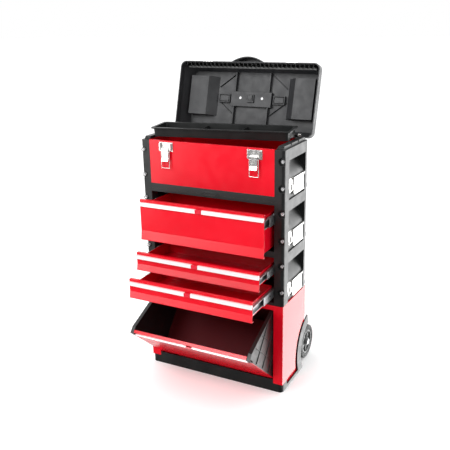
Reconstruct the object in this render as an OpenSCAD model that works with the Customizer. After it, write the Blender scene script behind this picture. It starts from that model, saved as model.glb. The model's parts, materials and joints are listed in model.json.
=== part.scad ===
// Rolling tool box: a tilt bin on wheels, two drawer modules and a lidded top box.
// Millimetres, +X right, the drawers open towards -Y, +Z up, origin on the floor
// under the middle of the stack.

/* [Stack] */
// Width across the side panels
stack_w = 520; // [515:1:525]
// Depth of the stacked modules
stack_d = 202; // [200:1:204]
// Height of the tilt bin module above the floor
bin_h = 320; // [318:1:324]
// Height of the module with two drawers
lower_h = 178; // [176:1:182]
// Height of the module with the deep drawer
middle_h = 174; // [172:1:178]
// Height of the top box body
top_h = 164; // [162:1:168]
// Width of the corner posts seen from the front
post_w = 33; // [31:1:35]

/* [Resting pose] */
// Tilt of the bin door
door_tilt = 49; // [0:0.5:49]
// Opening angle of the lid
lid_open = 106; // [0:1:106]
// How far the deep drawer stands out
deep_out = 81; // [0:1:175]
// How far the upper small drawer stands out
upper_out = 117; // [0:1:175]
// How far the lower small drawer stands out
lower_out = 168; // [0:1:175]

/* [Wheels] */
// Radius of the wheels
wheel_r = 62.5; // [61:0.5:63]
// Width of a tyre
tyre_w = 30; // [28:1:32]
// Distance of the axle behind the middle of the stack
axle_y = 172; // [170:1:176]

/* [Lid and tray] */
// Height of the closed lid over its rim
lid_h = 76; // [75:1:82]
// Length of the tray over its rim
tray_l = 474; // [470:1:487]
// Depth of the tray over its rim
tray_d = 126; // [120:1:130]
// Height of the tray
tray_h = 31; // [28:1:31]
// Turn of the tray on the box
tray_turn = 10; // [0:1:10]

/* [Hidden] */
$fn = 64;
sheet = 1.5;          // folded steel sheet
wall = 4;             // moulded plastic wall
gap = 0.5;            // play between neighbouring pieces
hx = stack_w / 2;
px = hx - post_w;     // inner face of the posts
fy = -stack_d / 2;    // front plane
by = stack_d / 2;     // back plane
z_lower = bin_h;
z_middle = z_lower + lower_h;
z_top = z_middle + middle_h;
z_rim = z_top + top_h;

// bin module
foot_h = 30;          // height of the base under the front columns
kick_h = 44;          // height of the base between the columns
sill_h = 12;          // height of the base along the sides
foot_y = -60;         // back end of the base's front corners
arch_in = 100;        // wheel arch radii around the axle
arch_out = 136;
recess_r = 156;
recess_x = hx - 8;
column_in = px - 1;   // inner face of the bin module's columns
shell = 2;            // sheet of the bin housing
pivot_y = fy + 10;    // pivot of the bin door
pivot_z = 54;
door_half = column_in - 1.5;
door_top = 298;
door_strip_z = 276;
door_strip_h = 10;
door_step = 3.5;      // set-back of the door's lip behind its strip
door_lip_half = 211;
strip_h = 12.5;       // height of the aluminium strips
step = 6;             // set-back of the sheet behind a strip
side_in = 219;        // inner face of the door's side panels

// side panels of the upper modules
corner_r = 10;
cavity_front = 10;
grip_drop = 36;       // top of the hand grip below the panel's top
grip_depth = 30;
grip_y = [-62, 80];   // front and rear end of the hand grip
latch_floor = hx - 5; // bottom of the recess behind a side latch
latch_top = 66;       // top of a side latch above the panel's bottom
screw_levels = [0.79, 0.27];
screw_x = hx - 6.6;
screw_r = 2.4;

// drawers: bottom, bend, strip bottom and lip top of the front
deep = [510.6, 543, 628.8, 650];
upper = [413.2, 435, 454.2, 475];
lower = [331.5, 355, 376.9, 398];
drawer_half = px - 0.8;
drawer_box_half = 212;
drawer_back = 84;
slide_front = fy + 10;
slide_back = 86;
catch_half = 11;

// lid hinge and lid
hinge_y = by + 27;
hinge_z = z_rim + 6;
lid_half = hx + 4;
lid_front = fy - 10;
lid_back = by + 33;
lid_band = 26;        // upright band of the lid above its rim
lid_draft = 20;       // how far the lid draws in above the band
lid_wall = 3;
lid_rim_z = z_rim + 1;
lid_top_z = lid_rim_z + lid_h;
pocket_x = [137, 236];
pocket_y = [-65, 68];
pocket_slope = 33;    // inner wall of a pocket leans by this much
pocket_floor = lid_rim_z + 43;
window_x = [84, 128]; // raised frames beside the middle of the lid
hinge_x = [150, 215];
bed_y = [-14, 30];    // bed of the lid's folding handle
handle_axis = [-7, lid_top_z - 4.5];

// top box and tray
box_floor = z_top + 18;
box_top = z_rim + 2;
tray_z = z_rim + 10;
latch_x = 161;
latch_pin_z = z_rim - 24;
bail_pin_z = z_rim - 33;
bail_len = 55;
wire_r = 1.25;

// telescopic handle
tube_x = 95;
tube_y = by + 17;
tube_r = [11, 9.5, 7.5];
handle_travel = 205;  // travel of each of the two stages
grip_z = 345;

// ---------------------------------------------------------------- helpers

// Box between two values on each axis
module span(x, y, z) {
    translate([x[0], y[0], z[0]])
        cube([x[1] - x[0], y[1] - y[0], z[1] - z[0]]);
}

// A shape and its mirror image across the middle of the stack
module both_sides() {
    children();
    mirror([1, 0, 0]) children();
}

// A (y, z) outline swept along X
module along_x(x) {
    translate([x[0], 0, 0])
        rotate([90, 0, 90])
            linear_extrude(x[1] - x[0]) children();
}

// A round bar along X
module rod_x(x, r, y, z) {
    translate([x[0], y, z])
        rotate([0, 90, 0]) cylinder(h = x[1] - x[0], r = r);
}

// A round bar along Y
module rod_y(y, r, x, z) {
    translate([x, y[0], z])
        rotate([-90, 0, 0]) cylinder(h = y[1] - y[0], r = r);
}

// Rectangle with round corners, made of squares and circles
module rounded(x, y, r) {
    translate([x[0] + r, y[0]]) square([x[1] - x[0] - 2 * r, y[1] - y[0]]);
    translate([x[0], y[0] + r]) square([x[1] - x[0], y[1] - y[0] - 2 * r]);
    for (cx = [x[0] + r, x[1] - r], cy = [y[0] + r, y[1] - r])
        translate([cx, cy]) circle(r);
}

// A folded sheet: a band of even thickness along a list of (y, z) points
module fold(points, t = sheet) {
    for (i = [0:len(points) - 2]) {
        run = points[i + 1] - points[i];
        u = run / norm(run) * t / 2;
        n = [-u.y, u.x];
        polygon([
            points[i] - u + n, points[i + 1] + u + n,
            points[i + 1] + u - n, points[i] - u - n
        ]);
    }
}

// Turns closed-door geometry to the door's resting tilt
module on_door() {
    translate([0, pivot_y, pivot_z])
        rotate([door_tilt, 0, 0])
            translate([0, -pivot_y, -pivot_z]) children();
}

// Turns closed-lid geometry to the lid's resting angle
module on_lid() {
    translate([0, hinge_y, hinge_z])
        rotate([-lid_open, 0, 0])
            translate([0, -hinge_y, -hinge_z]) children();
}

// ---------------------------------------------------------------- bin module

// Sector of the wheel arch seen from the side, between two radii
module arch_ring(r_in, r_out) {
    reach = 400;
    intersection() {
        translate([axle_y, wheel_r])
            difference() {
                circle(r_out);
                circle(r_in);
            }
        polygon([
            [axle_y, wheel_r], [axle_y - reach * sin(18), wheel_r + reach],
            [axle_y - reach, wheel_r + reach], [axle_y - reach, 0], [axle_y - arch_in, 0]
        ]);
    }
}

module axle_carrier() {
    difference() {
        along_x([176, 190]) {
            polygon([
                [by - 3, 0], [by - 3, 20], [by, 20], [by, 95], [by + 9, 95],
                [axle_y + 8, wheel_r + 14], [axle_y + 8, wheel_r - 14], [by + 30, 6], [by + 9, 0]
            ]);
            translate([axle_y, wheel_r]) circle(16);
        }
        rod_x([170, 200], 6.05, axle_y, wheel_r);
    }
}

module base_tray() {
    color("dimgray") {
        difference() {
            linear_extrude(foot_h) rounded([-hx, hx], [fy, by], 14);
            span([-hx + wall, hx - wall], [fy + wall, by - wall], [3, foot_h + 1]);
            both_sides() {
                span([hx - wall - 1, hx + 1], [foot_y, by + 1], [sill_h, foot_h + 1]);
                rod_x([px + 1, hx + 1], arch_in, axle_y, wheel_r);
            }
        }
        span([-column_in, column_in], [fy, fy + wall], [foot_h, kick_h]);
        both_sides() {
            along_x([px + 1.2, hx - wall]) arch_ring(arch_in, arch_in + wall);
            along_x([hx - wall, hx]) arch_ring(arch_in, arch_out);
            axle_carrier();
        }
    }
}

// Side view of what the wheel recess takes out of the outer side sheet
module recess_outline(r, low) {
    translate([axle_y, wheel_r]) circle(r);
    translate([foot_y, 0]) square([axle_y - foot_y, low]);
}

module bin_housing() {
    color("crimson") {
        both_sides() {
            // outer side sheet, open around the wheel
            difference() {
                span([hx - shell, hx], [fy, by], [foot_h, bin_h]);
                along_x([hx - 3, hx + 1]) recess_outline(recess_r, 34);
            }
            // set-back sheet between the side and the wheel arch
            along_x([recess_x, recess_x + shell])
                intersection() {
                    difference() {
                        recess_outline(recess_r + 1, 36);
                        translate([axle_y, wheel_r]) circle(arch_out + gap);
                    }
                    translate([foot_y + 2, 3]) square([by - foot_y - 2, 250]);
                }
            // step between the two sheets
            along_x([recess_x + shell, hx])
                intersection() {
                    difference() {
                        recess_outline(recess_r + 1, 36);
                        recess_outline(recess_r - 1, 34);
                    }
                    translate([foot_y, foot_h]) square([by - foot_y, 250]);
                }
            // column face
            span([column_in, hx - shell], [fy, fy + shell], [foot_h, bin_h]);
            // inner side of the column, with the door pivot's hole
            difference() {
                span([column_in, column_in + shell], [fy + shell, by - shell], [foot_h, bin_h]);
                rod_x([column_in - 1, column_in + 3], arch_in + wall + gap, axle_y, wheel_r);
                rod_x([column_in - 1, column_in + 3], 4.06, pivot_y, pivot_z);
            }
            // back of the column above the wheel arch
            difference() {
                span([column_in, hx - shell], [by - shell, by], [foot_h, bin_h]);
                rod_x([column_in - 1, hx + 1], arch_out + gap, axle_y, wheel_r);
            }
        }
        span([-column_in - shell, column_in + shell], [by - shell, by], [foot_h, bin_h]);
        span([-hx + shell, hx - shell], [fy + shell, by - shell], [bin_h - shell, bin_h]);
        span([-column_in, column_in], [fy, fy + shell], [bin_h - 17, bin_h]);
    }
}

module axle() {
    color("silver") {
        rod_x([-248, 248], 6, axle_y, wheel_r);
        both_sides() rod_x([247.4, 251], 11, axle_y, wheel_r);
    }
}

module tyre_right() {
    shoulder = 5;
    color("darkslategray")
        translate([216, axle_y, wheel_r])
            rotate([0, 90, 0])
                rotate_extrude()
                    rounded([44, wheel_r], [0, tyre_w], shoulder);
}

module hub_right() {
    hub_r = 43.9;
    color("gray")
        translate([217, axle_y, wheel_r])
            rotate([0, 90, 0])
                difference() {
                    union() {
                        difference() {
                            cylinder(h = tyre_w - 2, r = hub_r);
                            translate([0, 0, -1]) cylinder(h = tyre_w, r = hub_r - 5);
                        }
                        translate([0, 0, 10]) cylinder(h = 4, r = hub_r - 4);
                        cylinder(h = tyre_w, r = 15);
                        for (spoke = [0:4])
                            rotate(spoke * 72)
                                translate([12, -4, 3]) cube([28, 8, tyre_w - 8]);
                    }
                    translate([0, 0, -1]) cylinder(h = tyre_w + 2, r = 6.06);
                }
}

// ---------------------------------------------------------------- telescopic handle

module tube(r_out, r_in, z) {
    translate([tube_x, tube_y, z[0]])
        difference() {
            cylinder(h = z[1] - z[0], r = r_out);
            translate([0, 0, -1]) cylinder(h = z[1] - z[0] + 2, r = r_in);
        }
}

module handle_sleeves() {
    color("dimgray")
        both_sides() {
            tube(tube_r[0], tube_r[1] + 0.1, [58, 332]);
            for (z = [60, 296])
                difference() {
                    span([tube_x - 12, tube_x + 24], [by, tube_y - 2], [z, z + 22]);
                    translate([tube_x, tube_y, z - 1]) cylinder(h = 24, r = tube_r[0] - 0.8);
                }
        }
}

module handle_middle_tubes() {
    color("silver") both_sides() tube(tube_r[1], tube_r[2] + 0.1, [64, 336]);
}

module handle_inner_tubes() {
    color("silver") both_sides() tube(tube_r[2], tube_r[2] - 1.2, [68, grip_z]);
}

module handle_grip() {
    color("dimgray")
        union() {
            rod_x([-tube_x - 12, tube_x + 12], 13, tube_y, grip_z + 14);
            both_sides()
                translate([tube_x, tube_y, grip_z]) cylinder(h = 20, r = 11);
        }
}

// ---------------------------------------------------------------- bin door

module door_panel() {
    color("crimson")
        on_door() {
            along_x([-door_half, door_half])
                fold([[fy + sheet / 2, pivot_z - 4], [fy + sheet / 2, door_strip_z - sheet / 2]]);
            along_x([-door_lip_half, door_lip_half])
                fold([
                    [fy + sheet / 2, door_strip_z - sheet / 2], [fy + door_step, door_strip_z - sheet / 2],
                    [fy + door_step, door_top], [fy + door_step + 9, door_top]
                ]);
            span([-side_in + gap, side_in - gap], [fy + sheet - 0.1, 88], [pivot_z, pivot_z + sheet]);
        }
}

// Aluminium strip under a lip: solid bar with a finger groove below and a cut for the catch
module strip(half, z, h = strip_h, back = step) {
    color("gainsboro")
        difference() {
            span([-half, half], [fy - 2, fy + back - sheet / 2], [z, z + h]);
            span([-half - 1, half + 1], [fy + 1.5, fy + back], [z - 1, z + 5]);
            span([-catch_half - 0.4, catch_half + 0.4], [fy - 3, fy + back], [z - 1, z + h + 1]);
        }
}

// Push catch in the cut of a strip
module catch_tab(z, h = strip_h, back = 2.6) {
    color("firebrick")
        difference() {
            span([-catch_half, catch_half], [fy - 4, fy + back], [z + 0.4, z + h - 0.4]);
            span([-catch_half + 3, catch_half - 3], [fy - 5, fy - 2.5], [z + 3, z + h - 3]);
        }
}

module door_strip() { on_door() strip(door_lip_half, door_strip_z, door_strip_h, door_step); }
module door_catch() { on_door() catch_tab(door_strip_z, door_strip_h, 0.5); }

// Outline of a door side panel in the closed position
function side_outline() = [
    [fy + sheet + gap, pivot_z - 6], [fy + sheet + gap, door_strip_z - 2],
    [fy + step + 1.2, door_strip_z - 2], [fy + step + 1.2, door_top - 1.5],
    [fy + 24, door_top - 1.5], [92, 216], [92, 120], [60, pivot_z - 6]
];

module door_side() {
    rib_h = 3;
    rib = 2.4;
    difference() {
        union() {
            along_x([side_in, side_in + 3]) polygon(side_outline());
            // ribs on the outer face: uprights, cross bars and a diagonal
            along_x([side_in + 3, side_in + rib_h + 2.2])
                intersection() {
                    polygon(side_outline());
                    union() {
                        for (y = [fy + 48, fy + 96, fy + 144])
                            translate([y, pivot_z - 6]) square([rib, 260]);
                        for (z = [112, 172, 232])
                            translate([fy, z]) square([200, rib]);
                        fold([[fy + 3, 70], [88, 212]], rib);
                        fold([[fy + 22, door_top - 3], [90, 218]], 2 * rib);
                        fold([[fy + 4, pivot_z], [fy + 4, door_strip_z]], 2 * rib);
                        fold([[90, 120], [90, 214]], 2 * rib);
                    }
                }
            // flange along the front corner and the sloping edge
            along_x([door_lip_half + 0.8, side_in + rib_h + 2.2])
                fold([
                    [fy + 1.2, door_strip_z + 2], [fy + 1.2, door_top - 1.2], [fy + 24, door_top - 1.2], [91, 216]
                ], rib);
            // pivot boss
            along_x([side_in, side_in + rib_h + 2.2])
                intersection() {
                    polygon(side_outline());
                    translate([pivot_y, pivot_z]) circle(10);
                }
        }
        rod_x([side_in - 1, side_in + 10], 4.05, pivot_y, pivot_z);
    }
}

module door_sides() { color("dimgray") on_door() both_sides() door_side(); }

module door_pins() {
    color("silver")
        both_sides() rod_x([side_in, column_in + 5], 4, pivot_y, pivot_z);
}

// ---------------------------------------------------------------- module frames

// Depth of the hand grip at height z: flat at the top, an S curve, flush at the latch
function grip_x(z, h) =
    let (top = h - grip_drop - 12, t = min(1, max(0, (top - z) / (top - latch_top))))
    hx - grip_depth + (latch_floor - hx + grip_depth) * (1 - cos(180 * t)) / 2;

// Section of the grip's skin, x against z
module grip_skin(h) {
    steps = 14;
    z_high = h - grip_drop + 3;
    levels = [for (i = [0:steps]) latch_top + (h - grip_drop - 12 - latch_top) * i / steps];
    polygon(concat(
        [[latch_floor, 0]], [for (z = levels) [grip_x(z, h), z]], [[hx - grip_depth, z_high]],
        [[px, z_high]], [for (i = [steps:-1:0]) [grip_x(levels[i], h) - 3, levels[i]]],
        [[latch_floor - 3, 0]]
    ));
}

// Moulded side panel with two posts, hand grip and latch recess; its bottom is at z = 0
module side_panel(h) {
    grip_top = h - grip_drop;
    difference() {
        linear_extrude(h) {
            translate([px, fy]) square([post_w - corner_r, stack_d]);
            rounded([px, hx], [fy, by], corner_r);
        }
        span([px + 3, hx - wall], [fy + cavity_front, by - wall], [wall, h - wall]);
        span([px - 1, px + 4], [fy + 34, by - 34], [wall, h - wall]);
        span([hx - wall - 1, hx + 1], grip_y, [latch_top, grip_top]);
        span([latch_floor, hx + 1], [grip_y[0], 74], [-1, latch_top + 1]);
        for (level = screw_levels) {
            rod_y([fy - 1, fy + 7], 13, screw_x, level * h);
            span([screw_x, hx + 1], [fy - 1, fy + 7], [level * h - 13, level * h + 13]);
            rod_y([fy, fy + 12], screw_r + 0.1, screw_x, level * h);
        }
    }
    // skin of the grip, its two ends and its ceiling
    translate([0, grip_y[1] + 3, 0])
        rotate([90, 0, 0]) linear_extrude(grip_y[1] - grip_y[0] + 6) grip_skin(h);
    span([px, hx - wall], [grip_y[0] - 3, grip_y[0]], [0, grip_top + 3]);
    span([px, hx - wall], [grip_y[1], grip_y[1] + 3], [0, grip_top + 3]);
    span([px, hx - wall], [grip_y[0] - 3, grip_y[1] + 3], [grip_top, grip_top + 3]);
    // locating nub on the back
    span([hx - 22, hx - 4], [by, by + 7], [4, 16]);
}

module sides(z, h) {
    color("dimgray") translate([0, 0, z]) both_sides() side_panel(h);
}

// Rails and plates between the side panels of a drawer module
module chassis(z, h) {
    color("dimgray") {
        span([-px, px], [fy, by], [z, z + 2]);
        span([-px, px], [fy, by], [z + h - 2, z + h]);
        span([-px, px], [fy, fy + 12], [z, z + 10]);
        span([-px, px], [fy, fy + 12], [z + h - 11, z + h]);
        span([-px, px], [by - 6, by], [z, z + 12]);
        span([-px, px], [by - 6, by], [z + h - 12, z + h]);
    }
}

module back_panels() {
    color("crimson")
        for (m = [[z_lower, lower_h], [z_middle, middle_h]])
            span([-px, px], [by - shell, by], [m[0] + 12, m[0] + m[1] - 12]);
}

module screws() {
    color("silver")
        both_sides()
            for (m = [[z_lower, lower_h], [z_middle, middle_h], [z_top, top_h]], level = screw_levels)
                translate([0, 0, m[0]]) {
                    rod_y([fy + 3, fy + 7], 5, screw_x, level * m[1]);
                    rod_y([fy + 6, fy + 15], screw_r, screw_x, level * m[1]);
                }
}

// ---------------------------------------------------------------- top box

module top_base() {
    color("dimgray")
        difference() {
            span([-px, px], [fy, by], [z_top, box_floor]);
            span([-px + 10, px - 10], [fy + 10, by - 10], [z_top + 2, box_floor + 1]);
        }
}

module top_box() {
    hem = 8;
    color("crimson") {
        difference() {
            span([-px, px], [fy, by], [box_floor, box_top]);
            span([-px + sheet, px - sheet], [fy + sheet, by - sheet], [box_floor + sheet, box_top + 1]);
        }
        for (y = [[fy + sheet, fy + hem], [by - hem, by - sheet]])
            span([-px + sheet, px - sheet], y, [box_top - sheet, box_top]);
    }
}

module top_rim() {
    lip_x = [hx - 30, hx - 8];
    color("dimgray") {
        // ledge under the back of the lid
        span([-hx + 30, hx - 30], [by, hinge_y - 4], [z_rim - 12, z_rim - 7]);
        span([-hx + 30, hx - 30], [by, by + 4], [z_rim - 30, z_rim - 7]);
        both_sides() {
            span(lip_x, [fy + 12, by - 6], [z_rim, z_rim + 5]);
            for (i = [0:2])
                span([lip_x[0] + 2, lip_x[1]], [fy + 16 + 61 * i, fy + 68 + 61 * i], [z_rim + 4, tray_z]);
            // hinge block and knuckle for the lid's pin
            difference() {
                union() {
                    span(hinge_x, [by, by + 6], [z_rim - 22, z_rim + 2]);
                    span(hinge_x, [by, hinge_y], [z_rim - 8, z_rim + 2]);
                    rod_x(hinge_x, 6.5, hinge_y, hinge_z);
                }
                rod_x([hinge_x[0] - 1, hinge_x[1] + 1], 3.06, hinge_y, hinge_z);
            }
        }
    }
}

// ---------------------------------------------------------------- drawers

module drawer_body(d, out) {
    box_top_z = d[2] + 6;
    color("crimson")
        translate([0, -out, 0]) {
            along_x([-drawer_half, drawer_half])
                fold([
                    [fy + 12, d[0] + sheet / 2], [fy + sheet, d[0] + sheet / 2], [fy + step, d[1]],
                    [fy + step, d[3] - sheet / 2], [fy + step + 9, d[3] - sheet / 2]
                ]);
            difference() {
                span([-drawer_box_half, drawer_box_half], [fy + step, drawer_back], [d[0] + 5, box_top_z]);
                span(
                    [-drawer_box_half + sheet, drawer_box_half - sheet],
                    [fy + step + sheet / 2, drawer_back - sheet], [d[0] + 5 + sheet, box_top_z + 1]
                );
            }
        }
}

module drawer_strip(d, out) { translate([0, -out, 0]) strip(drawer_half, d[2]); }
module drawer_catch(d, out) { translate([0, -out, 0]) catch_tab(d[2]); }

// Height range of a drawer's slides
function slide_z(d) = let (top = d[2] + 2, high = min(36, d[2] - d[0] - 12)) [top - high, top];

// C-section rail with its back at x[1] and its mouth at x[0]
module rail(x, y, z, t) {
    difference() {
        span(x, y, z);
        span([x[0] - 1, x[1] - t], [y[0] - 1, y[1] + 1], [z[0] + t, z[1] - t]);
    }
}

function shrink(z, by_mm) = [z[0] + by_mm, z[1] - by_mm];

module slide_outer_rails() {
    color("silver")
        both_sides()
            for (d = [deep, upper, lower])
                rail([219, px], [slide_front, slide_back], slide_z(d), 1.6);
}

module slide_middle(d, out) {
    color("silver")
        translate([0, -out / 2, 0])
            both_sides()
                rail([215.6, 224.4], [slide_front, slide_back], shrink(slide_z(d), 2.4), 1.6);
}

module slide_inner(d, out) {
    color("silver")
        translate([0, -out, 0])
            both_sides()
                mirror([1, 0, 0])
                    rail([-221.4, -drawer_box_half], [slide_front + 6, drawer_back], shrink(slide_z(d), 4.8), 1.6);
}

// ---------------------------------------------------------------- latches

// Draw latch on the right side of a module whose bottom is at height z
module side_latch(z) {
    plate_y = [-20, 65];
    hinge = [hx - 1.4, z + latch_top - 4];
    color("silver") {
        span([hx - 2.6, hx - 0.6], plate_y, [z + 10, z + latch_top - 4]);
        rod_y(plate_y, 2.6, hinge[0], hinge[1]);
        rod_y([plate_y[0] - 4, plate_y[1] + 4], 1.5, hinge[0], hinge[1]);
        rod_y(plate_y, 2.2, hinge[0] + 1.2, z + 10);
    }
}

module side_latch_mounts() {
    color("silver")
        both_sides()
            for (z = [z_lower, z_middle, z_top]) {
                for (y = [-24.5, 66])
                    difference() {
                        span([latch_floor, hx + 2], [y, y + 3.5], [z + latch_top - 8, z + latch_top]);
                        rod_y([y - 1, y + 5], 1.56, hx - 1.4, z + latch_top - 4);
                    }
                // fixed hook beside the plate
                span([latch_floor, latch_floor + 2], [-58, -27], [z + 22, z + latch_top]);
                span([latch_floor + 2, hx], [-58, -50], [z + 22, z + 34]);
                span([latch_floor + 2, hx], [-36, -28], [z + 26, z + 44]);
            }
}

module front_latch_base() {
    difference() {
        union() {
            span([latch_x - 26, latch_x + 26], [fy - 1.6, fy], [latch_pin_z - 9, z_rim - 3]);
            for (x = [latch_x - 22, latch_x + 18.5])
                span([x, x + 3.5], [fy - 10, fy - 1.6], [latch_pin_z - 5, z_rim - 6]);
        }
        for (x = [latch_x - 22, latch_x + 22])
            rod_y([fy - 3, fy + 1], 2, x, latch_pin_z - 4);
    }
    rod_x([latch_x - 20, latch_x + 20], 1.5, fy - 6, latch_pin_z);
}

module front_latch_bases() { color("silver") both_sides() front_latch_base(); }

module front_latch_lever() {
    half = 12.5;
    difference() {
        union() {
            rod_x([latch_x - half, latch_x + half], 3.2, fy - 6, latch_pin_z);
            rod_x([latch_x - half, latch_x + half], 2.8, fy - 8, bail_pin_z);
            span([latch_x - half, latch_x + half], [fy - 10.8, fy - 8], [bail_pin_z, latch_pin_z]);
            along_x([latch_x - half, latch_x + half])
                fold([[fy - 9.6, bail_pin_z], [fy - 9.6, bail_pin_z - 21], [fy - 15, bail_pin_z - 31]], 2);
        }
        rod_x([latch_x - 20, latch_x + 20], 1.56, fy - 6, latch_pin_z);
        rod_x([latch_x - 20, latch_x + 20], wire_r + 0.06, fy - 8, bail_pin_z);
    }
}

// Closed wire loop whose top bar turns in the lever
module front_latch_bail() {
    half = 15.5;
    color("silver")
        translate([latch_x, fy - 8, bail_pin_z]) {
            for (z = [0, -bail_len])
                rod_x([-half, half], wire_r, 0, z);
            for (x = [-half, half]) {
                translate([x, 0, -bail_len]) cylinder(h = bail_len, r = wire_r);
                for (z = [0, -bail_len])
                    translate([x, 0, z]) sphere(wire_r);
            }
        }
}

// ---------------------------------------------------------------- tray

// Slab of the tapered tray at one height, drawn in by an inset
module tray_slab(inset, z) {
    translate([0, 0, z])
        linear_extrude(0.1)
            rounded(
                [-tray_l / 2 + inset, tray_l / 2 - inset], [-tray_d / 2 + inset, tray_d / 2 - inset], 8,
                $fn = 32
            );
}

module tray() {
    overhang = 7;
    skin = 2.2;
    color("dimgray")
        translate([-3, 10, tray_z])
            rotate(tray_turn) {
                difference() {
                    union() {
                        hull() {
                            tray_slab(overhang + 2, 0);
                            tray_slab(overhang, tray_h - 0.2);
                        }
                        translate([0, 0, tray_h - 4])
                            linear_extrude(4)
                                rounded([-tray_l / 2, tray_l / 2], [-tray_d / 2, tray_d / 2], 10);
                    }
                    hull() {
                        tray_slab(overhang + 2 + skin, skin);
                        tray_slab(overhang + skin, tray_h);
                    }
                }
                for (x = [-72, 66])
                    span([x, x + 2], [-tray_d / 2 + 12, tray_d / 2 - 12], [skin, tray_h - 7]);
            }
}

// ---------------------------------------------------------------- lid, drawn closed

// Slab of the lid at one height, drawn in by an inset
module lid_slab(inset, z) {
    translate([0, 0, z])
        linear_extrude(0.1)
            rounded(
                [-lid_half + inset, lid_half - inset], [lid_front + inset, lid_back - inset],
                20 - inset / 4, $fn = 32
            );
}

module lid_body(inset, low, high) {
    hull() {
        lid_slab(inset, low);
        lid_slab(inset, low + lid_band);
        lid_slab(inset + lid_draft, high - 0.1);
    }
}

// Arched lip in the middle of the lid's front edge, hollow from below
module lid_lip() {
    half = 60;
    reach = 18;
    lip_h = 34;
    arc_r = (half * half + reach * reach) / (2 * reach);
    translate([0, lid_front - reach + arc_r, lid_rim_z])
        difference() {
            cylinder(h = lip_h, r = arc_r, $fn = 96);
            translate([0, 0, -1]) cylinder(h = lip_h - 2, r = arc_r - lid_wall, $fn = 96);
            span([-2 * arc_r, 2 * arc_r], [reach - arc_r + 0.5, 2 * arc_r], [-1, lip_h + 1]);
        }
}

// Organiser pocket with a leaning inner wall, grown by its wall or bare
module pocket_block(grow, top) {
    low = pocket_floor + lid_wall - grow;
    translate([0, pocket_y[1] + grow, 0])
        rotate([90, 0, 0])
            linear_extrude(pocket_y[1] - pocket_y[0] + 2 * grow)
                polygon([
                    [pocket_x[0] - grow, top], [pocket_x[0] + pocket_slope - grow, low],
                    [pocket_x[1] + grow, low], [pocket_x[1] + grow, top]
                ]);
}

module lid_shell() {
    color("dimgray")
        on_lid()
            difference() {
                union() {
                    difference() {
                        lid_body(0, lid_rim_z, lid_top_z);
                        lid_body(lid_wall, lid_rim_z - 1, lid_top_z - lid_wall);
                    }
                    both_sides() pocket_block(lid_wall, lid_top_z - 1);
                    // stiffening ribs and the handle's bracket
                    for (x = [-68, 64])
                        span([x, x + 4], [lid_front + 24, lid_back - 24], [pocket_floor + 18, lid_top_z - 1]);
                    span([-78, 78], [bed_y[0] - 4, bed_y[1] + 4], [lid_top_z - 16, lid_top_z - 1]);
                    span([-9, 9], [-6, 14], [lid_top_z - 24, lid_top_z - 15]);
                    both_sides()
                        difference() {
                            span(window_x, [-8, 22], [lid_top_z - 14, lid_top_z - 1]);
                            span(
                                [window_x[0] + lid_wall, window_x[1] - lid_wall], [-8 + lid_wall, 22 - lid_wall],
                                [lid_top_z - 15, lid_top_z]
                            );
                        }
                    lid_lip();
                }
                // organiser pockets, open to the outside
                both_sides() pocket_block(0, lid_top_z + 1);
                // bed of the folding handle
                span([-70, 70], bed_y, [lid_top_z - 12, lid_top_z + 1]);
                both_sides() {
                    rod_x([69, 76], 3.06, handle_axis[0], handle_axis[1]);
                    translate([42, 4, lid_top_z - 17]) cylinder(h = 6, r = 5);
                }
                // room for the hinges in the rear wall
                both_sides()
                    span([hinge_x[0] - 13, hinge_x[1] + 13], [by + 6, lid_back + 1], [lid_rim_z - 1, hinge_z + 8.5]);
            }
}

module lid_cover() {
    lip = 5;
    seat = lid_top_z + 0.3;
    difference() {
        union() {
            span(
                [pocket_x[0] - lip, pocket_x[1] + lip - 2], [pocket_y[0] - lip, pocket_y[1] + lip],
                [seat, seat + 2.5]
            );
            rod_y([pocket_y[0] + 6, pocket_y[1] - 6], 3, pocket_x[0] - lip, seat + 3);
        }
        span(
            [pocket_x[0] + 6, pocket_x[1] - 8], [pocket_y[0] + 6, pocket_y[1] - 6],
            [seat + 1.5, seat + 3]
        );
    }
}

module lid_handle() {
    arm = 58;
    color("dimgray")
        on_lid() {
            both_sides() {
                span([arm - 5, arm + 5], [handle_axis[0] - 4, 26], [lid_top_z - 9, lid_top_z]);
                rod_x([arm, 75], 3, handle_axis[0], handle_axis[1]);
            }
            span([-arm - 5, arm + 5], [14, 26], [lid_top_z - 9, lid_top_z]);
        }
}

module lid_hardware() {
    color("silver")
        on_lid()
            both_sides() {
                // strike for the front latch
                span([latch_x - 17, latch_x + 17], [lid_front - 1.5, lid_front], [lid_rim_z + 3, lid_rim_z + 30]);
                span([latch_x - 14, latch_x + 14], [lid_front - 5, lid_front - 1.5], [lid_rim_z + 17, lid_rim_z + 20]);
                span([latch_x - 14, latch_x + 14], [lid_front - 5, lid_front - 3.5], [lid_rim_z + 17, lid_rim_z + 26]);
                // hinge leaf, knuckles and pin
                span([hinge_x[0] - 10, hinge_x[1] + 10], [lid_back, lid_back + 2], [hinge_z + 9, hinge_z + 34]);
                for (x = [[hinge_x[0] - 10, hinge_x[0] - gap], [hinge_x[1] + gap, hinge_x[1] + 10]]) {
                    rod_x(x, 6.5, hinge_y, hinge_z);
                    span(x, [hinge_y + 3, lid_back + 2], [hinge_z, hinge_z + 8]);
                    span(x, [lid_back, lid_back + 2], [hinge_z, hinge_z + 10]);
                }
                rod_x([hinge_x[0] - 10, hinge_x[1] + 10], 3, hinge_y, hinge_z);
            }
}

// ---------------------------------------------------------------- nodes

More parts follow.
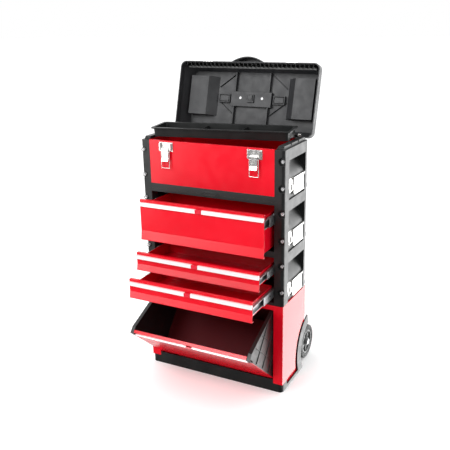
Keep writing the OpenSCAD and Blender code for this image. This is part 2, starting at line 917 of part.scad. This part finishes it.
base_tray();
bin_housing();
axle();
mirror([1, 0, 0]) tyre_right();  // tyre_left
tyre_right();
mirror([1, 0, 0]) hub_right();  // hub_left
hub_right();
handle_sleeves();
handle_middle_tubes();
handle_inner_tubes();
handle_grip();
door_panel();
door_strip();
door_catch();
door_sides();
door_pins();
sides(z_lower, lower_h);  // lower_sides
chassis(z_lower, lower_h);  // lower_chassis
sides(z_middle, middle_h);  // middle_sides
chassis(z_middle, middle_h);  // middle_chassis
back_panels();
sides(z_top, top_h);  // top_sides
top_box();
top_base();
top_rim();
drawer_body(deep, deep_out);  // deep_drawer_body
drawer_strip(deep, deep_out);  // deep_drawer_strip
drawer_catch(deep, deep_out);  // deep_drawer_catch
drawer_body(upper, upper_out);  // upper_drawer_body
drawer_strip(upper, upper_out);  // upper_drawer_strip
drawer_catch(upper, upper_out);  // upper_drawer_catch
drawer_body(lower, lower_out);  // lower_drawer_body
drawer_strip(lower, lower_out);  // lower_drawer_strip
drawer_catch(lower, lower_out);  // lower_drawer_catch
slide_outer_rails();
slide_middle(deep, deep_out);  // deep_slide_middle
slide_middle(upper, upper_out);  // upper_slide_middle
slide_middle(lower, lower_out);  // lower_slide_middle
slide_inner(deep, deep_out);  // deep_slide_inner
slide_inner(upper, upper_out);  // upper_slide_inner
slide_inner(lower, lower_out);  // lower_slide_inner
side_latch(z_top);  // side_latch_top_right
mirror([1, 0, 0]) side_latch(z_top);  // side_latch_top_left
side_latch(z_middle);  // side_latch_middle_right
mirror([1, 0, 0]) side_latch(z_middle);  // side_latch_middle_left
side_latch(z_lower);  // side_latch_lower_right
mirror([1, 0, 0]) side_latch(z_lower);  // side_latch_lower_left
side_latch_mounts();
screws();
front_latch_bases();
color("silver") front_latch_lever();  // front_latch_lever_right
mirror([1, 0, 0]) color("silver") front_latch_lever();  // front_latch_lever_left
front_latch_bail();  // front_latch_bail_right
mirror([1, 0, 0]) front_latch_bail();  // front_latch_bail_left
tray();
lid_shell();
color("gray") on_lid() lid_cover();  // lid_cover_right
mirror([1, 0, 0]) color("gray") on_lid() lid_cover();  // lid_cover_left
lid_handle();
lid_hardware();
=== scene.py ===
import json
import math

import bmesh
import bpy
from mathutils import Matrix, Vector


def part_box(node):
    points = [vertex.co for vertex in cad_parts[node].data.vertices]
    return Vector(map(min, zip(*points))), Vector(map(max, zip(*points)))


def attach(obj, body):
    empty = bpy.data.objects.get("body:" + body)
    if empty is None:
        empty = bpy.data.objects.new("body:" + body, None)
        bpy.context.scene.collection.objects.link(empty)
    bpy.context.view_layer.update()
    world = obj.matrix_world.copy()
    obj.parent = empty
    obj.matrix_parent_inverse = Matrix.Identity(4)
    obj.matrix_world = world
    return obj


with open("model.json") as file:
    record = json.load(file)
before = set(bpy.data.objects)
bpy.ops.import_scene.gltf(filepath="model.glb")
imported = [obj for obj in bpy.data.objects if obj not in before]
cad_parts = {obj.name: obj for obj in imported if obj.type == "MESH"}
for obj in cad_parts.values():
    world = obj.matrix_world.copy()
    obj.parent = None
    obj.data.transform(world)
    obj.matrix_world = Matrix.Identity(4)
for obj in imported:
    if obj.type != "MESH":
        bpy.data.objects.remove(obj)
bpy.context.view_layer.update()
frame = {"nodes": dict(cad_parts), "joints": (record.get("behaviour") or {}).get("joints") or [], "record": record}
nodes = frame["nodes"]
scene = bpy.context.scene
scene.view_settings.view_transform = "Standard"


# ---------------------------------------------------------------- materials

NOISE_LOW, NOISE_HIGH = 0.3, 0.7  # the noise textures' values are mostly between these


def new_material(name):
    mat = bpy.data.materials.new(name)
    mat.use_nodes = True
    tree = mat.node_tree
    return mat, tree, tree.nodes["Principled BSDF"]


def link(tree, a, out, b, inp):
    tree.links.new(a.outputs[out], b.inputs[inp])


def noise(tree, scale, detail=4.0, stretch=(1, 1, 1)):
    coord = tree.nodes.new("ShaderNodeTexCoord")
    place = tree.nodes.new("ShaderNodeMapping")
    place.inputs["Scale"].default_value = stretch
    tex = tree.nodes.new("ShaderNodeTexNoise")
    tex.inputs["Scale"].default_value = scale
    tex.inputs["Detail"].default_value = detail
    link(tree, coord, "Object", place, "Vector")
    link(tree, place, "Vector", tex, "Vector")
    return tex


def ramp(tree, source, low, high):
    """Turns noise into colours between two ends."""
    node = tree.nodes.new("ShaderNodeValToRGB")
    node.color_ramp.elements[0].position = NOISE_LOW
    node.color_ramp.elements[1].position = NOISE_HIGH
    node.color_ramp.elements[0].color = (*low, 1)
    node.color_ramp.elements[1].color = (*high, 1)
    link(tree, source, "Fac", node, "Fac")
    return node


def spread(tree, source, low, high):
    """Turns noise into numbers between two ends."""
    node = tree.nodes.new("ShaderNodeMapRange")
    node.inputs["From Min"].default_value = NOISE_LOW
    node.inputs["From Max"].default_value = NOISE_HIGH
    node.inputs["To Min"].default_value = low
    node.inputs["To Max"].default_value = high
    link(tree, source, "Fac", node, "Value")
    return node


def operation(tree, kind, name, constant=None):
    """Math or vector math node; a constant goes into its second input."""
    node = tree.nodes.new(kind)
    node.operation = name
    if constant is not None:
        node.inputs[1].default_value = constant
    return node


def finish_surface(name, colours, rough, metallic=0.0, grain=(900, 0.0002), mottle=9.0,
                   stretch=(1, 1, 1), edge=0.0008, specular=0.5, wave=None):
    """Principled material: mottled colour, uneven gloss, fine relief and softened edges."""
    mat, tree, shader = new_material(name)
    broad = noise(tree, mottle, 3.0)
    fine = noise(tree, grain[0], 2.0, stretch)
    colour = ramp(tree, broad, *colours)
    link(tree, colour, "Color", shader, "Base Color")
    gloss = spread(tree, noise(tree, mottle * 4, 3.0, stretch), *rough)
    link(tree, gloss, "Result", shader, "Roughness")
    shader.inputs["Metallic"].default_value = metallic
    shader.inputs["Specular IOR Level"].default_value = specular
    soft = tree.nodes.new("ShaderNodeBevel")
    soft.samples = 4
    soft.inputs["Radius"].default_value = edge
    relief = tree.nodes.new("ShaderNodeBump")
    relief.inputs["Distance"].default_value = grain[1]
    relief.inputs["Strength"].default_value = 1.0
    link(tree, fine, "Fac", relief, "Height")
    link(tree, soft, "Normal", relief, "Normal")
    if wave:
        slow = noise(tree, wave[0], 1.0)
        swell = tree.nodes.new("ShaderNodeBump")
        swell.inputs["Distance"].default_value = wave[1]
        link(tree, slow, "Fac", swell, "Height")
        link(tree, relief, "Normal", swell, "Normal")
        relief = swell
    link(tree, relief, "Normal", shader, "Normal")
    return mat


MATERIALS = {
    "red_paint": finish_surface(
        "red_paint", ((0.66, 0.002, 0.012), (0.73, 0.003, 0.016)), (0.15, 0.22),
        grain=(420, 0.00001), edge=0.0010, specular=0.38, wave=(9, 0.00012)),
    "black_moulding": finish_surface(
        "black_moulding", ((0.008, 0.009, 0.009), (0.013, 0.014, 0.014)), (0.34, 0.46),
        grain=(1500, 0.00004), edge=0.0014, wave=(30, 0.00004)),
    "black_lid": finish_surface(
        "black_lid", ((0.026, 0.027, 0.029), (0.038, 0.039, 0.042)), (0.42, 0.55),
        grain=(1300, 0.00005), edge=0.0014),
    "cover_plastic": finish_surface(
        "cover_plastic", ((0.012, 0.013, 0.014), (0.020, 0.021, 0.022)), (0.16, 0.24),
        grain=(900, 0.00001), edge=0.0008),
    "aluminium_strip": finish_surface(
        "aluminium_strip", ((0.86, 0.84, 0.85), (0.95, 0.93, 0.94)), (0.26, 0.36), metallic=0.25,
        grain=(2600, 0.00001), stretch=(0.03, 1, 1), edge=0.0006),
    "chrome": finish_surface(
        "chrome", ((0.74, 0.73, 0.71), (0.88, 0.87, 0.85)), (0.1, 0.24), metallic=0.75,
        grain=(300, 0.00002), mottle=40, edge=0.0006),
    "zinc_steel": finish_surface(
        "zinc_steel", ((0.30, 0.30, 0.31), (0.42, 0.42, 0.43)), (0.25, 0.4), metallic=0.85,
        grain=(1200, 0.00002), mottle=30, edge=0.0004),
    # lighter, less metallic metal for the screws only: painted highlight standing in for the glint on their heads
    "screw_painted_glint": finish_surface(
        "screw_painted_glint", ((0.82, 0.82, 0.83), (0.95, 0.95, 0.96)), (0.2, 0.3), metallic=0.2,
        grain=(1200, 0.00001), mottle=60, edge=0.0004),
    "red_catch": finish_surface(
        "red_catch", ((0.62, 0.01, 0.03), (0.74, 0.014, 0.04)), (0.2, 0.3),
        grain=(900, 0.00001), edge=0.0006),
    "tyre": finish_surface(
        "tyre", ((0.035, 0.037, 0.038), (0.055, 0.058, 0.06)), (0.55, 0.7),
        grain=(1400, 0.0001), edge=0.0012),
    "wheel_hub": finish_surface(
        "wheel_hub", ((0.10, 0.105, 0.105), (0.14, 0.145, 0.145)), (0.35, 0.5),
        grain=(1400, 0.00004), edge=0.0010),
}

# Box of the bin's inside, in metres. It is painted darker and duller, to match the shadow in the photo.
BIN_INSIDE_MIDDLE = (0, 0.002, 0.160)
BIN_INSIDE_HALF = (0.2262, 0.0985, 0.152)
BIN_INSIDE_COLOUR = (0.10, 0.002, 0.006, 1)
BIN_INSIDE_ROUGHNESS = 0.75

TREAD_BLOCKS = 36
TREAD_DEPTH = 0.0012
TREAD_STRENGTH = 0.6


def paint_inside(mat, middle, half, colour, roughness):
    """Gives a material another colour and roughness inside a box."""
    tree = mat.node_tree
    shader = tree.nodes["Principled BSDF"]
    spot = tree.nodes.new("ShaderNodeTexCoord")
    shifted = operation(tree, "ShaderNodeVectorMath", "SUBTRACT", middle)
    link(tree, spot, "Object", shifted, "Vector")
    distance = operation(tree, "ShaderNodeVectorMath", "ABSOLUTE")
    link(tree, shifted, "Vector", distance, "Vector")
    split = tree.nodes.new("ShaderNodeSeparateXYZ")
    link(tree, distance, "Vector", split, "Vector")
    inside = None
    for axis_name, reach in zip("XYZ", half):
        less = operation(tree, "ShaderNodeMath", "LESS_THAN", reach)
        link(tree, split, axis_name, less, 0)
        if inside:
            both = operation(tree, "ShaderNodeMath", "MULTIPLY")
            link(tree, inside, "Value", both, 0)
            link(tree, less, "Value", both, 1)
            less = both
        inside = less
    for socket, kind, value in (("Base Color", "RGBA", colour), ("Roughness", "FLOAT", roughness)):
        before = shader.inputs[socket].links[0].from_socket
        mix = tree.nodes.new("ShaderNodeMix")
        mix.data_type = kind
        factor, outside_end, inside_end = [i for i in mix.inputs if i.enabled]
        tree.links.new(inside.outputs["Value"], factor)
        tree.links.new(before, outside_end)
        inside_end.default_value = value
        tree.links.new([o for o in mix.outputs if o.enabled][0], shader.inputs[socket])


def add_tread(mat, axle_point):
    """Radial tread blocks, cut by a wave that runs round the axle."""
    tree = mat.node_tree
    shader = tree.nodes["Principled BSDF"]
    round_axle = tree.nodes.new("ShaderNodeTexCoord")
    centred = operation(tree, "ShaderNodeVectorMath", "SUBTRACT", axle_point)
    link(tree, round_axle, "Object", centred, "Vector")
    split = tree.nodes.new("ShaderNodeSeparateXYZ")
    link(tree, centred, "Vector", split, "Vector")
    angle = operation(tree, "ShaderNodeMath", "ARCTAN2")
    link(tree, split, "Y", angle, 0)
    link(tree, split, "Z", angle, 1)
    count = operation(tree, "ShaderNodeMath", "MULTIPLY", TREAD_BLOCKS)
    link(tree, angle, "Value", count, 0)
    wave = operation(tree, "ShaderNodeMath", "SINE")
    link(tree, count, "Value", wave, 0)
    tread = tree.nodes.new("ShaderNodeBump")
    tread.inputs["Distance"].default_value = TREAD_DEPTH
    tread.inputs["Strength"].default_value = TREAD_STRENGTH
    link(tree, wave, "Value", tread, "Height")
    link(tree, shader.inputs["Normal"].links[0].from_node, "Normal", tread, "Normal")
    link(tree, tread, "Normal", shader, "Normal")


paint_inside(
    MATERIALS["red_paint"], BIN_INSIDE_MIDDLE, BIN_INSIDE_HALF, BIN_INSIDE_COLOUR, BIN_INSIDE_ROUGHNESS)
tyre_low, tyre_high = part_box("tyre_left")
add_tread(MATERIALS["tyre"], [(a + b) / 2 for a, b in zip(tyre_low, tyre_high)])

# the screws get a brighter and less metallic material than the chrome of their slot, a painted highlight for the
# glint on their heads
slot_of = {s["node"]: s["material_slot"] for s in frame["record"]["subparts"]}
for name, obj in nodes.items():
    obj.data.materials.clear()
    obj.data.materials.append(MATERIALS["screw_painted_glint" if name == "screws" else slot_of[name]])

# ---------------------------------------------------------------- moulded and pressed details

def add_piece(name, bm, slot, body, soften=0.0):
    """Finishes a bmesh as a piece in one of the record's slots, riding on a body."""
    bmesh.ops.recalc_face_normals(bm, faces=bm.faces)
    mesh = bpy.data.meshes.new(name)
    bm.to_mesh(mesh)
    bm.free()
    obj = bpy.data.objects.new(name, mesh)
    scene.collection.objects.link(obj)
    mesh.materials.append(MATERIALS[slot])
    if soften:
        mod = obj.modifiers.new("soft_edges", "BEVEL")
        mod.width = soften
        mod.segments = 2
        mod.limit_method = "ANGLE"
    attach(obj, body)


def add_box(bm, low, high, turn=None):
    """Box between two corners given in millimetres, turned about its middle."""
    middle = Vector([(a + b) / 2000 for a, b in zip(low, high)])
    size = [abs(b - a) / 1000 for a, b in zip(low, high)]
    matrix = Matrix.Translation(middle) @ (turn or Matrix()) @ Matrix.Diagonal((*size, 1))
    bmesh.ops.create_cube(bm, size=1.0, matrix=matrix)


def add_ring(bm, centre, radius, tube, stretch=(1, 1), around=40, across=8):
    """Ring of round section, round or oval, that faces -Y, in millimetres."""
    rows = []
    for i in range(around):
        a = 2 * math.pi * i / around
        row = []
        for j in range(across):
            b = 2 * math.pi * j / across
            u = (radius * stretch[0] + tube * math.cos(b)) * math.cos(a)
            v = (radius * stretch[1] + tube * math.cos(b)) * math.sin(a)
            place = (u, tube * math.sin(b), v)
            row.append(bm.verts.new([(c + d) / 1000 for c, d in zip(centre, place)]))
        rows.append(row)
    for i in range(around):
        for j in range(across):
            k, m = (i + 1) % around, (j + 1) % across
            bm.faces.new((rows[i][j], rows[k][j], rows[k][m], rows[i][m]))


def islands(name):
    """Boxes, in millimetres, of the separate solids of a CAD node, in the same order each run."""
    bm = bmesh.new()
    bm.from_mesh(nodes[name].data)
    bmesh.ops.remove_doubles(bm, verts=bm.verts, dist=1e-6)
    left, found = set(bm.verts), []
    while left:
        stack, group = [left.pop()], []
        while stack:
            vert = stack.pop()
            group.append(vert.co * 1000)
            for edge in vert.link_edges:
                other = edge.other_vert(vert)
                if other in left:
                    left.remove(other)
                    stack.append(other)
        found.append([[f(p[i] for p in group) for i in range(3)] for f in (min, max)])
    bm.free()
    return sorted(found)


# moulded ring round each corner screw, and the cross cut in its head, drawn as dark bars that paint the shade
# inside the cut
RING_RADIUS, RING_TUBE = 6.1, 0.8
CUT_REACH, CUT_HALF_WIDTH = 3.2, 0.5

rings, cross_cut_shade = bmesh.new(), bmesh.new()
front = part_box("top_sides")[0][1] * 1000
for small, large in islands("screws"):
    x, y, z = (small[0] + large[0]) / 2, small[1], (small[2] + large[2]) / 2
    add_ring(rings, (x, front - 0.1, z), RING_RADIUS, RING_TUBE)
    for turn_about in (45, -45):
        add_box(cross_cut_shade, (x - CUT_REACH, y - 0.25, z - CUT_HALF_WIDTH),
                (x + CUT_REACH, y + 0.5, z + CUT_HALF_WIDTH),
                Matrix.Rotation(math.radians(turn_about), 4, "Y"))
add_piece("screw_rings", rings, "black_moulding", "stack")
# dark bars on the screw heads: painted shade of the hollow cross cuts
add_piece("screw_slot_shade", cross_cut_shade, "black_moulding", "stack")

# the lid's details are laid out as it lies shut and turned open with it
lid_joint = next(j for j in frame["joints"] if j["name"] == "lid_swing")
hinge = Vector(lid_joint["pos_m"])
# the joint shuts the lid about -X, so its shut angle taken about +X opens it
swing = Matrix.Rotation(math.radians(lid_joint["range_deg"][0]), 4, "X")
open_lid = Matrix.Translation(hinge) @ swing @ Matrix.Translation(-hinge)


def turn_open(bm):
    bmesh.ops.transform(bm, matrix=open_lid, verts=bm.verts)


# ribs in the lid's front lip, with a rail along their top and a bead near their foot
LIP_RIBS, RIB_PITCH, RIB_HALF = 31, 16, 1
LIP_FRONT, RIB_FOOT, RIB_TOP, RAIL_REACH = -108.4, 841, 862, 246

lip = bmesh.new()
for i in range(LIP_RIBS):
    x = (i - LIP_RIBS // 2) * RIB_PITCH
    add_box(lip, (x - RIB_HALF, LIP_FRONT, RIB_FOOT), (x + RIB_HALF, -98, RIB_TOP))
add_box(lip, (-RAIL_REACH, LIP_FRONT, RIB_TOP), (RAIL_REACH, -92, RIB_TOP + 2.5))
add_box(lip, (-RAIL_REACH, LIP_FRONT, RIB_FOOT + 5), (RAIL_REACH, LIP_FRONT + 2.4, RIB_FOOT + 7))
turn_open(lip)
add_piece("lid_lip_ribs", lip, "black_moulding", "lid", 0.0005)

# slanted ribs and a pad in each half of the lid's roof
ROOF_RIB_X, ROOF_RIB_REACH, ROOF_RIB_HALF, ROOF_RIB_LEAN = 102, 38, 0.8, 38
ROOF_PAD_X, ROOF_PAD_REACH = 106, 17

field = bmesh.new()
for side in (-1, 1):
    for y_mid, lean in ((-56, ROOF_RIB_LEAN), (38, -ROOF_RIB_LEAN)):
        x = side * ROOF_RIB_X
        add_box(field, (x - ROOF_RIB_REACH, y_mid - ROOF_RIB_HALF, 904),
                (x + ROOF_RIB_REACH, y_mid + ROOF_RIB_HALF, 911),
                Matrix.Rotation(math.radians(side * lean), 4, "Z"))
    x = side * ROOF_PAD_X
    add_box(field, (x - ROOF_PAD_REACH, -3, 899.5), (x + ROOF_PAD_REACH, 17, 901))
turn_open(field)
add_piece("lid_roof_ribs", field, "black_lid", "lid", 0.0004)

# stepped boss between the screw holes in the middle of the lid's roof
latch_box = bmesh.new()
add_box(latch_box, (-13, -8, 892), (13, 20, 899))
add_box(latch_box, (-8, -4, 888), (8, 10, 893))
turn_open(latch_box)
add_piece("lid_handle_boss", latch_box, "black_lid", "lid", 0.001)

# oval recess in the black bar above the deep drawer
RECESS_Z, RECESS_RADIUS = 674, 10

recess = bmesh.new()
add_ring(recess, (0, -101.3, RECESS_Z), RECESS_RADIUS, 1.4, (3.0, 0.62), 48)
add_ring(recess, (0, -101.2, RECESS_Z), RECESS_RADIUS, 0.9, (2.2, 0.35), 48)
add_piece("bar_recess", recess, "black_moulding", "stack")

# ---------------------------------------------------------------- stage, light and camera

FLOOR_REACH, DOME_RADIUS = 30, 40

floor = bpy.data.meshes.new("floor")
corners = [(a * FLOOR_REACH, b * FLOOR_REACH, 0) for a, b in ((-1, -1), (1, -1), (1, 1), (-1, 1))]
floor.from_pydata(corners, [], [(0, 1, 2, 3)])
floor_obj = bpy.data.objects.new("floor", floor)
scene.collection.objects.link(floor_obj)
floor_obj.visible_glossy = False
pale, pale_tree, pale_shader = new_material("pale_floor")
pale_mix = ramp(pale_tree, noise(pale_tree, 0.8), (0.86, 0.86, 0.86), (0.9, 0.9, 0.9))
link(pale_tree, pale_mix, "Color", pale_shader, "Base Color")
pale_shader.inputs["Roughness"].default_value = 0.9
pale_shader.inputs["Specular IOR Level"].default_value = 0.0
pale_shader.inputs["Emission Color"].default_value = (1, 1, 1, 1)
pale_shader.inputs["Emission Strength"].default_value = 0.2
floor.materials.append(pale)

# pale dome all round, seen only by the camera and casting no light
dome_bm = bmesh.new()
bmesh.ops.create_uvsphere(dome_bm, u_segments=48, v_segments=24, radius=DOME_RADIUS)
dome = bpy.data.meshes.new("dome")
dome_bm.to_mesh(dome)
dome_bm.free()
dome_obj = bpy.data.objects.new("dome", dome)
scene.collection.objects.link(dome_obj)
for ray in ("glossy", "diffuse", "transmission", "shadow", "volume_scatter"):
    setattr(dome_obj, "visible_" + ray, False)
shell, shell_tree, shell_shader = new_material("pale_dome")
shell_shader.inputs["Base Color"].default_value = (0, 0, 0, 1)
shell_shader.inputs["Specular IOR Level"].default_value = 0.0
shell_glow = ramp(shell_tree, noise(shell_tree, 0.3), (1, 1, 1), (1, 1, 1))
link(shell_tree, shell_glow, "Color", shell_shader, "Emission Color")
shell_shader.inputs["Emission Strength"].default_value = 1.0
dome.materials.append(shell)

world = bpy.data.worlds.new("studio")
scene.world = world
world.use_nodes = True
wt = world.node_tree
back = wt.nodes["Background"]
back.inputs["Color"].default_value = (1, 1, 1, 1)
way = wt.nodes.new("ShaderNodeTexCoord")


def toward(direction, inner, outer, value):
    """Brightness of a soft patch of the studio round one direction."""
    unit = Vector(direction).normalized()
    dot = operation(wt, "ShaderNodeVectorMath", "DOT_PRODUCT", unit)
    wt.links.new(way.outputs["Generated"], dot.inputs[0])
    rise = wt.nodes.new("ShaderNodeMapRange")
    rise.interpolation_type = "SMOOTHSTEP"
    rise.inputs["From Min"].default_value = math.cos(math.radians(outer))
    rise.inputs["From Max"].default_value = math.cos(math.radians(inner))
    rise.inputs["To Min"].default_value = 0.0
    rise.inputs["To Max"].default_value = value
    wt.links.new(dot.outputs["Value"], rise.inputs["Value"])
    return rise.outputs["Result"]


patches = [
    toward((0, 0, 1), 15, 88, 1.0),              # overhead light
    toward((-0.2, 1, 0.1), 35, 100, 0.98),       # backdrop
    toward((0.5, 0.84, -0.3), 20, 50, 3.0),      # light panel low behind the right side
    toward((-0.46, -0.88, 0.03), 4, 11, 3.8),    # narrow light level with the drawers
    toward((-0.69, -0.71, -0.1), 12.0, 13.6, 3.6),  # softbox at the left
]
BASE_BRIGHTNESS = 0.07

total = patches[0]
for patch in patches[1:]:
    plus = operation(wt, "ShaderNodeMath", "ADD")
    wt.links.new(total, plus.inputs[0])
    wt.links.new(patch, plus.inputs[1])
    total = plus.outputs["Value"]
base = operation(wt, "ShaderNodeMath", "ADD", BASE_BRIGHTNESS)
wt.links.new(total, base.inputs[0])
wt.links.new(base.outputs["Value"], back.inputs["Strength"])


def area(name, place, aim, size, power):
    lamp = bpy.data.lights.new(name, "AREA")
    lamp.shape = "RECTANGLE"
    lamp.size, lamp.size_y = size
    lamp.energy = power
    obj = bpy.data.objects.new(name, lamp)
    obj.location = place
    obj.rotation_mode = "QUATERNION"
    obj.rotation_quaternion = (Vector(aim) - Vector(place)).to_track_quat("-Z", "Y")
    obj.visible_camera = False
    scene.collection.objects.link(obj)


area("key", (-1.2, -2.6, 2.6), (0, 0, 0.5), (1.6, 1.6), 62)
area("fill", (2.4, -1.6, 1.6), (0, 0, 0.5), (1.4, 1.4), 14)

AZIMUTH, ELEVATION, ROLL = math.radians(27.67), math.radians(18.04), math.radians(-1.1)
TARGET, DISTANCE = Vector((-0.00036, 0, 0.5378)), 2.24385
away = Vector((
    math.sin(AZIMUTH) * math.cos(ELEVATION), -math.cos(AZIMUTH) * math.cos(ELEVATION), math.sin(ELEVATION)
))
right = (-away).cross(Vector((0, 0, 1))).normalized()
up = right.cross(-away)
right, up = (
    right * math.cos(ROLL) + up * math.sin(ROLL),
    up * math.cos(ROLL) - right * math.sin(ROLL),
)
camera = bpy.data.cameras.new("camera")
camera.sensor_width = 36
camera.lens = 51.96
camera.clip_end = 200
camera_obj = bpy.data.objects.new("camera", camera)
scene.collection.objects.link(camera_obj)
turn = Matrix((right, up, away)).transposed().to_4x4()
camera_obj.matrix_world = Matrix.Translation(TARGET + away * DISTANCE) @ turn
scene.camera = camera_obj
